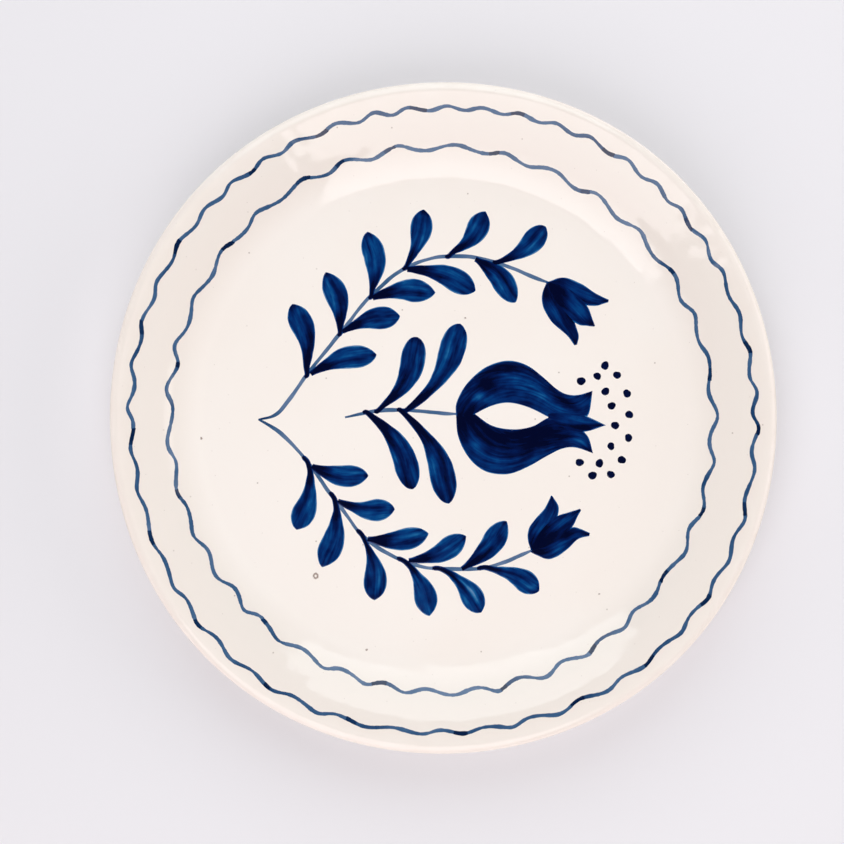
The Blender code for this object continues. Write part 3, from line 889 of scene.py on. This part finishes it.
def buildTulips():
    for seed, (name, spray) in enumerate((("upper_tulip", "upper_spray"),
                                          ("lower_tulip", "lower_spray"))):
        points = nodePlan(name)
        end = stemPaths[spray][-1]
        base = points[np.linalg.norm(points - end, axis=1).argmin()]
        tip = points[np.linalg.norm(points - base, axis=1).argmax()]
        way = (tip - base) / tulip["length"]
        turned = np.array([way, (-way[1], way[0])])
        shells = []
        for k, ((left, right), touches) in enumerate(zip(tulip[name], tulip["touches"])):
            chance = np.random.default_rng(900 + 10 * seed + k)
            left, right = (curveThrough(line, tulip["steps"]) @ turned + base
                           for line in (left, right))
            travelled = np.linspace(0, 25, tulip["steps"])
            sway = 0.25 * wander(910 + 10 * seed + k, travelled, 23.0)[:, None] * way
            shells.append(strip(left + sway, right - sway, tulip["lift"],
                                touched(tulip["base"] + chance.uniform(-0.05, 0.05), touches),
                                rest=0.01 + 0.012 * k, seed=920 + 10 * seed + k,
                                covered=0.55 if k == 2 else 0.0))
        makePiece(camel(name), shells, petalCobalt, name, strokeFields)


flower = {
    "length": 58.8, "height": (-23.5, 21.0), "lift": 0.03,
    # lobes are drawn from the base, round the opening, to their tips in the crown
    "upperOuter": ((0.0, -0.8), (0.2, 4.6), (3.9, 11.6), (10.1, 17.6), (16.8, 20.6), (22.6, 21.0),
                   (28.5, 19.0), (34.3, 14.6), (39.3, 10.2), (43.4, 8.0), (48.0, 7.7),
                   (53.6, 9.3)),
    "upperInner": ((6.4, -0.8), (7.6, 0.3), (14.3, 3.5), (21.0, 4.6), (28.5, 2.8), (36.9, -1.3),
                   (43.0, -4.0), (48.5, -3.0), (52.2, 0.4), (53.6, 9.3)),
    "lowerOuter": ((0.0, 0.2), (0.6, -7.5), (2.9, -13.6), (6.8, -19.0), (11.8, -22.4),
                   (17.6, -23.5), (22.6, -22.9), (29.3, -20.0), (35.9, -16.2), (41.8, -13.4),
                   (47.0, -13.0), (53.8, -15.2)),
    "lowerInner": ((6.4, 0.8), (7.6, 0.1), (14.3, -4.4), (22.6, -5.8), (30.1, -4.6), (36.9, -1.1),
                   (42.0, -3.0), (47.5, -5.0), (51.8, -8.6), (53.8, -15.2)),
    "crownUpper": ((36.2, 0.4), (42.0, 1.2), (48.0, 0.6), (53.0, -1.4), (58.8, -4.2)),
    "crownLower": ((36.2, -1.6), (41.0, -4.4), (46.0, -6.6), (51.5, -6.6), (58.8, -4.2)),
    "upperTouches": ((0.02, 0.0, 0.1, 2.0, 0.25), (0.17, -0.1, 0.05, 0.4, -0.26),
                     (0.27, 0.25, 0.06, 0.4, 0.32), (0.42, 0.7, 0.14, 0.22, 0.26),
                     (0.45, 0.1, 0.12, 0.35, -0.16), (0.62, -0.25, 0.1, 0.3, -0.2),
                     (0.66, 0.62, 0.1, 0.3, 0.12), (0.8, 0.1, 0.06, 0.5, 0.28),
                     (0.89, 0.0, 0.05, 0.5, -0.16), (0.99, 0.0, 0.04, 2.0, 0.25)),
    "lowerTouches": ((0.02, 0.0, 0.14, 2.0, 0.3), (0.22, 0.35, 0.05, 0.3, -0.2),
                     (0.35, -0.55, 0.22, 0.45, 0.3), (0.62, -0.3, 0.16, 0.6, 0.22),
                     (0.38, 0.6, 0.12, 0.3, -0.2), (0.56, 0.1, 0.05, 0.5, 0.18),
                     (0.66, 0.65, 0.06, 0.3, -0.12), (0.88, -0.1, 0.06, 0.5, -0.22),
                     (0.99, 0.0, 0.05, 2.0, 0.25)),
    "crownTouches": ((0.0, 0.0, 0.2, 2.0, 0.16), (0.45, -0.3, 0.2, 0.4, -0.16),
                     (0.62, 0.5, 0.2, 0.4, 0.25), (0.95, 0.0, 0.1, 2.0, 0.08)),
    # edges, touches, base load, points along and across, rest height, seed, covered share
    "strokes": (("lowerInner", "lowerOuter", "lowerTouches", 0.73, 150, 45, 0.01, 11, 0.0),
                ("upperInner", "upperOuter", "upperTouches", 0.68, 150, 45, 0.02, 12, 0.0),
                ("crownUpper", "crownLower", "crownTouches", 0.7, 60, 21, 0.03, 13, 0.5)),
}


def buildFlower():
    low, high = boxOf("large_flower")
    scale = (high[0] - low[0]) / flower["length"]
    base = np.array([low[0], (low[1] + high[1]) / 2 - scale * sum(flower["height"]) / 2])

    def line(key, steps):
        return curveThrough(flower[key], steps) * scale + base

    # each stroke lies over the one before
    shells = [
        strip(line(left, steps), line(right, steps), flower["lift"],
              touched(tone, flower[touches]), across=across, rest=rest, seed=seed,
              covered=covered)
        for left, right, touches, tone, steps, across, rest, seed, covered in flower["strokes"]
    ]
    makePiece("largeFlower", shells, petalCobalt, "large_flower", strokeFields)


dot = {"lift": 0.05, "load": 0.95, "sides": 40}


def buildDots():
    # a low dome over a slightly lopsided outline
    for number in range(1, 17):
        node = f"seed_dot_{number:02d}"
        low, high = boxOf(node)
        chance = np.random.default_rng(700 + number)
        centre = (low + high)[:2] / 2
        reach = (high - low)[0] / 2 * chance.uniform(0.95, 1.1)
        turn = np.linspace(0, 2 * np.pi, dot["sides"], endpoint=False)
        lead = chance.uniform(0, 2 * np.pi, 3)
        outline = reach * (1 + 0.07 * np.cos(turn * 2 + lead[0]) + 0.04 * np.cos(turn * 3 + lead[1])
                           + 0.02 * np.cos(turn * 5 + lead[2]))
        rings = np.array([0.3, 0.55, 0.75, 0.88, 0.96, 1.0, 0.5])
        plan = centre + (rings[:, None] * outline)[..., None] * np.stack(
            [np.cos(turn), np.sin(turn)], -1)
        lift = dot["lift"] * (1 - rings ** 4)
        lift[-1] = -0.03
        points = laid(plan, np.repeat(lift[:, None], dot["sides"], 1)).reshape(-1, 3)
        poles = laid(np.array([centre, centre]), np.array([dot["lift"], -0.03]))
        count = len(points)
        edge = np.append(((1 - rings)[:, None] * outline).ravel(), [reach, reach])
        everything = np.vstack([points, poles])
        fields = {"edge": edge, "load": np.full(count + 2, dot["load"]),
                  "brush": everything[:, :2] + 50 * number}
        faces = [gridFaces(len(rings), dot["sides"]), fan(count, 0, dot["sides"], False),
                 fan(count + 1, count - dot["sides"], dot["sides"], True)]
        makePiece(camel(node), [(everything, faces, fields)], dotCobalt, node,
                  strokeFields)


buildTulips()
buildFlower()
buildDots()
print("flowers and seed dots painted")


# wavy lines

outerLine = {
    "radius": 123.8, "waves": 46, "swing": 0.9, "sway": (1.0, 75), "start": 0.33,
    "drift": ((1, 0.9, 95), (4, 1.0, 150)),             # off centre, and four slow bulges
    "charges": (12, 37, 57, 75, 93, 112, 127, 146, 162, 182, 201, 219, 236, 252, 272, 294, 309,
                324, 342, 357),
    "width": 1.5, "lift": 0.02, "tone": 0.51, "seed": 31,
}
innerLine = {
    "radius": 107.8, "waves": 35, "swing": 1.2, "sway": (0.45, 263), "start": -0.52,
    "drift": ((1, 1.0, 135), (2, 0.7, 90)),             # off centre, and a little oval
    "charges": (8, 32, 57, 78, 100, 111, 119, 140, 168, 195, 228, 255, 282, 302, 323, 339),
    "width": 1.5, "lift": 0.02, "tone": 0.46, "seed": 37,
}


def buildLine(name, node, facts):
    # radius = mean + drift + swing * cos(waves * turn + start + a slow sway), in brush
    # charges; each charge starts in a short dark overlap and pales as the brush dries
    seed = facts["seed"]
    chance = np.random.default_rng(seed)
    first = facts["charges"][0]
    degrees = np.linspace(first, first + 361.2, 2200)
    turn = np.radians(degrees)
    size, lead = facts["sway"]
    phase = facts["waves"] * degrees / 360 + facts["start"]
    phase = phase + size * np.sin(np.radians(degrees - lead)) + 0.1 * wander(seed + 1, degrees, 47.0)
    swing = facts["swing"] * (1 + 0.28 * wander(seed + 2, degrees, 61.0))
    wave = np.cos(2 * np.pi * phase) + 0.08 * np.sin(4 * np.pi * phase + 0.7)
    charges = np.array(facts["charges"] + (facts["charges"][0] + 360,), float)
    index = np.clip(np.searchsorted(charges, degrees, side="right") - 1, 0, len(charges) - 1)
    step = chance.uniform(-0.16, 0.16, len(charges))
    since = degrees - charges[index]
    overlap = chance.uniform(1.2, 3.2, len(charges))[index]
    wet = chance.uniform(0.1, 0.26, len(charges))[index]
    dark = (since < overlap) * chance.uniform(0.6, 1.15, len(charges))[index]
    radius = facts["radius"] + harmonics(turn, facts["drift"]) + swing * wave + step[index]
    path = radius[:, None] * np.column_stack([np.cos(turn), np.sin(turn)])
    half = facts["width"] / 2 * (1 + 0.2 * wander(seed + 3, degrees, 9.0) + 0.05 * dark
                                 + 0.08 * wander(seed + 4, degrees, 2.3))
    left, right = along(path, half)
    level = facts["tone"] + wet * np.exp(-since / 7) + 0.36 * dark
    level = level + 0.07 * wander(seed + 5, degrees, 21.0)

    def load(t, v):
        return level[:, None] + 0 * v

    shell = strip(left, right, facts["lift"], load, across=7, seed=seed)
    makePiece(name, [shell], lineCobalt, node, strokeFields)


buildLine("outerWaveLine", "outer_wave_line", outerLine)
buildLine("innerWaveLine", "inner_wave_line", innerLine)
print("wavy lines painted")


# floor, light and camera

studio = {
    "floorColour": (0.545, 0.532, 0.55),
    "paintedFloorGlow": 0.32,                 # painted glow: the floor gives off some light of its own, which lightens the shadows on it
    "floorReach": 6000.0,
    "floorFade": (550.0, 1500.0),      # where the paper starts and ends turning into the walls
    # oval panel: (azimuth from the plate, degrees off vertical, distance, width, height,
    # glow, colour); azimuth 90 is +Y
    "panels": (
        (257, 43, 1.6, 1.45, 2.2, 2.76, (1.02, 0.97, 0.985)),
        (94, 53, 1.6, 1.8, 1.95, 2.36, (0.92, 0.995, 1.02)),
        (5, 68, 1.5, 1.5, 1.00, 1.95, (1.00, 0.98, 0.97)),
        (182, 70, 1.5, 1.3, 0.8, 0.6, (1.00, 0.97, 0.98)),
    ),
    # the room: dark overhead, then a pale band all round, then walls almost as pale
    "overhead": (0.02, 0.02, 0.02),
    "band": (0.84, 0.8, 0.81),
    "walls": (0.82, 0.8, 0.82),
    "bandFrom": (57.0, 70.0),          # degrees off vertical
    "bandTo": (76.0, 84.0),
    "camera": (-8.4, -1.6, 1269.0),
    "lens": 135.0,
}


def buildFloor():
    side = studio["floorReach"]
    points = np.array([(-side, -side, 0), (side, -side, 0), (side, side, 0), (-side, side, 0)])
    mesh = bpy.data.meshes.new("floor")
    mesh.from_pydata((points * mm).tolist(), [], [(0, 1, 2, 3)])
    material, tree, shader = newMaterial("paleFloor")
    # painted shade: the floor colour is a little darker to the left, standing in for less light
    # falling there
    place = inMillimetres(tree)
    clouds = maths(tree, "MULTIPLY", noise(tree, place, 0.006, 2), 60.0)
    across = addNode(tree, "SeparateXYZ", {0: place}).outputs["X"]
    share = between(tree, maths(tree, "ADD", across, clouds), -190.0, 60.0)
    darker = tuple(0.95 * c for c in studio["floorColour"])
    paper = mixed(tree, share, darker, studio["floorColour"])
    # far out it glows as the walls do, so no dark edge shows behind the plate
    far = between(tree, distanceFromAxis(tree, place), *studio["floorFade"])
    tree.links.new(mixed(tree, far, paper, (0.0, 0.0, 0.0)), shader.inputs["Base Color"])
    # painted glow: near the plate the floor emits a share of the walls' colour, which lightens its
    # shadows
    glow = maths(tree, "MULTIPLY_ADD", far, 1 - studio["paintedFloorGlow"], studio["paintedFloorGlow"])
    tree.links.new(glow, shader.inputs["Emission Strength"])
    shader.inputs["Emission Color"].default_value = (*studio["walls"], 1)
    shader.inputs["Roughness"].default_value = 0.9
    shader.inputs["Specular IOR Level"].default_value = 0.1
    mesh.materials.append(material)
    linked("floor", mesh)


def buildLights():
    for number, (azimuth, tilt, distance, width, height, glow, colour) in enumerate(
            studio["panels"], 1):
        a, b = np.radians([azimuth, tilt])
        away = Vector((np.cos(a) * np.sin(b), np.sin(a) * np.sin(b), np.cos(b)))
        lamp = bpy.data.lights.new(f"panel{number}", "AREA")
        lamp.shape = "ELLIPSE"
        lamp.size, lamp.size_y = width, height
        lamp.energy = glow * np.pi * (np.pi / 4 * width * height)
        lamp.color = colour
        holder = linked(f"panel{number}", lamp)
        holder.location = away * distance
        holder.rotation_mode = "QUATERNION"
        holder.rotation_quaternion = away.to_track_quat("Z", "Y")
    world = bpy.data.worlds.new("studio")
    world.use_nodes = True
    tree = world.node_tree
    way = addNode(tree, "TexCoord").outputs["Generated"]
    up = addNode(tree, "SeparateXYZ", {0: way}).outputs["Z"]
    colour = studio["overhead"]
    for edges, below in ((studio["bandFrom"], studio["band"]), (studio["bandTo"], studio["walls"])):
        high, low = np.cos(np.radians(edges))
        colour = mixed(tree, between(tree, up, float(low), float(high), 1.0, 0.0), colour, below)
    tree.links.new(colour, tree.nodes["Background"].inputs["Color"])
    bpy.context.scene.world = world


def buildCamera():
    # straight above, level with the floor, +Y up in the frame
    camera = bpy.data.cameras.new("camera")
    camera.lens = studio["lens"]
    camera.sensor_width = 36.0
    camera.clip_start, camera.clip_end = 0.05, 20.0
    holder = linked("camera", camera)
    holder.location = Vector(studio["camera"]) * mm
    bpy.context.scene.camera = holder
    bpy.context.scene.view_settings.view_transform = "Standard"


buildFloor()
buildLights()
buildCamera()
print("floor, lights and camera placed")
